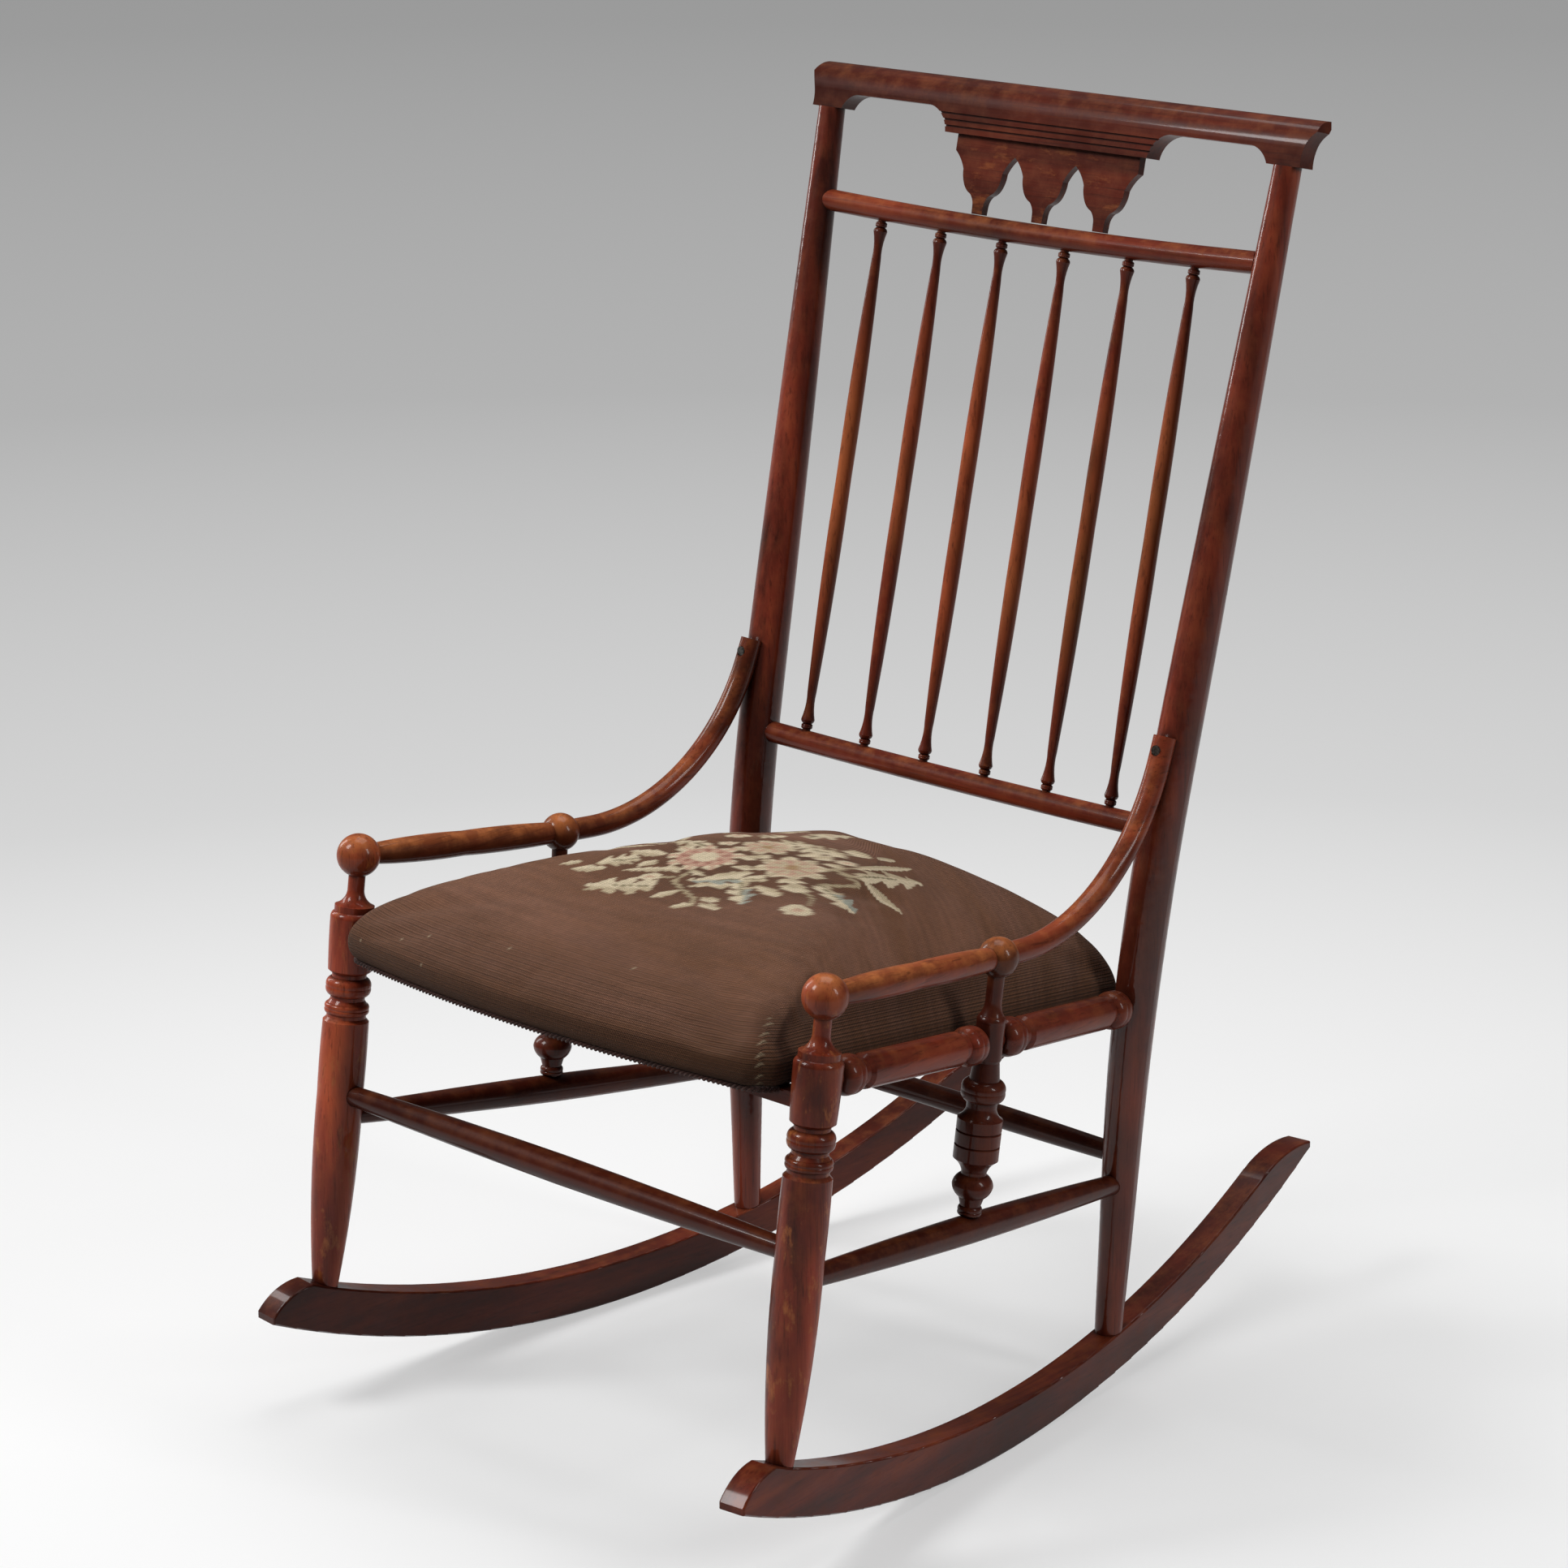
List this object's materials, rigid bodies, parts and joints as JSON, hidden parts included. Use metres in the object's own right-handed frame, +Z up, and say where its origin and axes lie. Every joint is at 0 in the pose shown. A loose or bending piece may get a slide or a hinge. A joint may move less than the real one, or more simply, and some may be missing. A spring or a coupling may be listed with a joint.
{
  "type": "rocking chair",
  "caption": "Low-armed wooden rocking chair with a raked spindle back, moulded crest with pendant drops, turned legs and a domed needlepoint seat.",
  "frame": {"origin": "on the floor, in the middle of the chair's bounding box, which is the middle between the rockers' front and back ends", "axes": "+Z up, the chair faces -Y, +X is the sitter's left; the chair stands at rest on its rockers"},
  "size_m": [0.4832, 0.7198, 0.911],
  "materials": {
    "stained_wood": "satin",
    "frame_wood": "matte",
    "needlepoint": "matte",
    "stuffing": "matte",
    "webbing": "matte",
    "hessian": "matte",
    "lining": "matte",
    "piping": "matte",
    "dark_steel": "satin"
  },
  "bodies": {
    "root": {"rocker_left": "stained_wood", "rocker_right": "stained_wood", "front_leg_left": "stained_wood", "front_leg_right": "stained_wood", "rear_post_left": "stained_wood", "rear_post_right": "stained_wood", "front_stretcher": "stained_wood", "side_stretcher_left": "stained_wood", "side_stretcher_right": "stained_wood", "rear_stretcher": "stained_wood", "baluster_left": "stained_wood", "baluster_right": "stained_wood", "front_side_rail_left": "stained_wood", "front_side_rail_right": "stained_wood", "rear_side_rail_left": "stained_wood", "rear_side_rail_right": "stained_wood", "front_seat_rail": "stained_wood", "rear_seat_rail": "stained_wood", "arm_rod_left": "stained_wood", "arm_rod_right": "stained_wood", "arm_bow_left": "stained_wood", "arm_bow_right": "stained_wood", "upper_cross_rail": "stained_wood", "lower_cross_rail": "stained_wood", "crest_rail": "stained_wood", "pendant_board": "stained_wood", "spindle_1": "stained_wood", "spindle_2": "stained_wood", "spindle_3": "stained_wood", "spindle_4": "stained_wood", "spindle_5": "stained_wood", "spindle_6": "stained_wood", "seat_frame_front": "frame_wood", "seat_frame_rear": "frame_wood", "seat_frame_left": "frame_wood", "seat_frame_right": "frame_wood", "seat_cover": "needlepoint", "seat_stuffing": "stuffing", "seat_webbing": "webbing", "seat_hessian": "hessian", "seat_lining": "lining", "seat_piping": "piping", "seat_tacks": "dark_steel", "seat_screws": "dark_steel", "arm_screws": "dark_steel"}
  },
  "joints": []
}
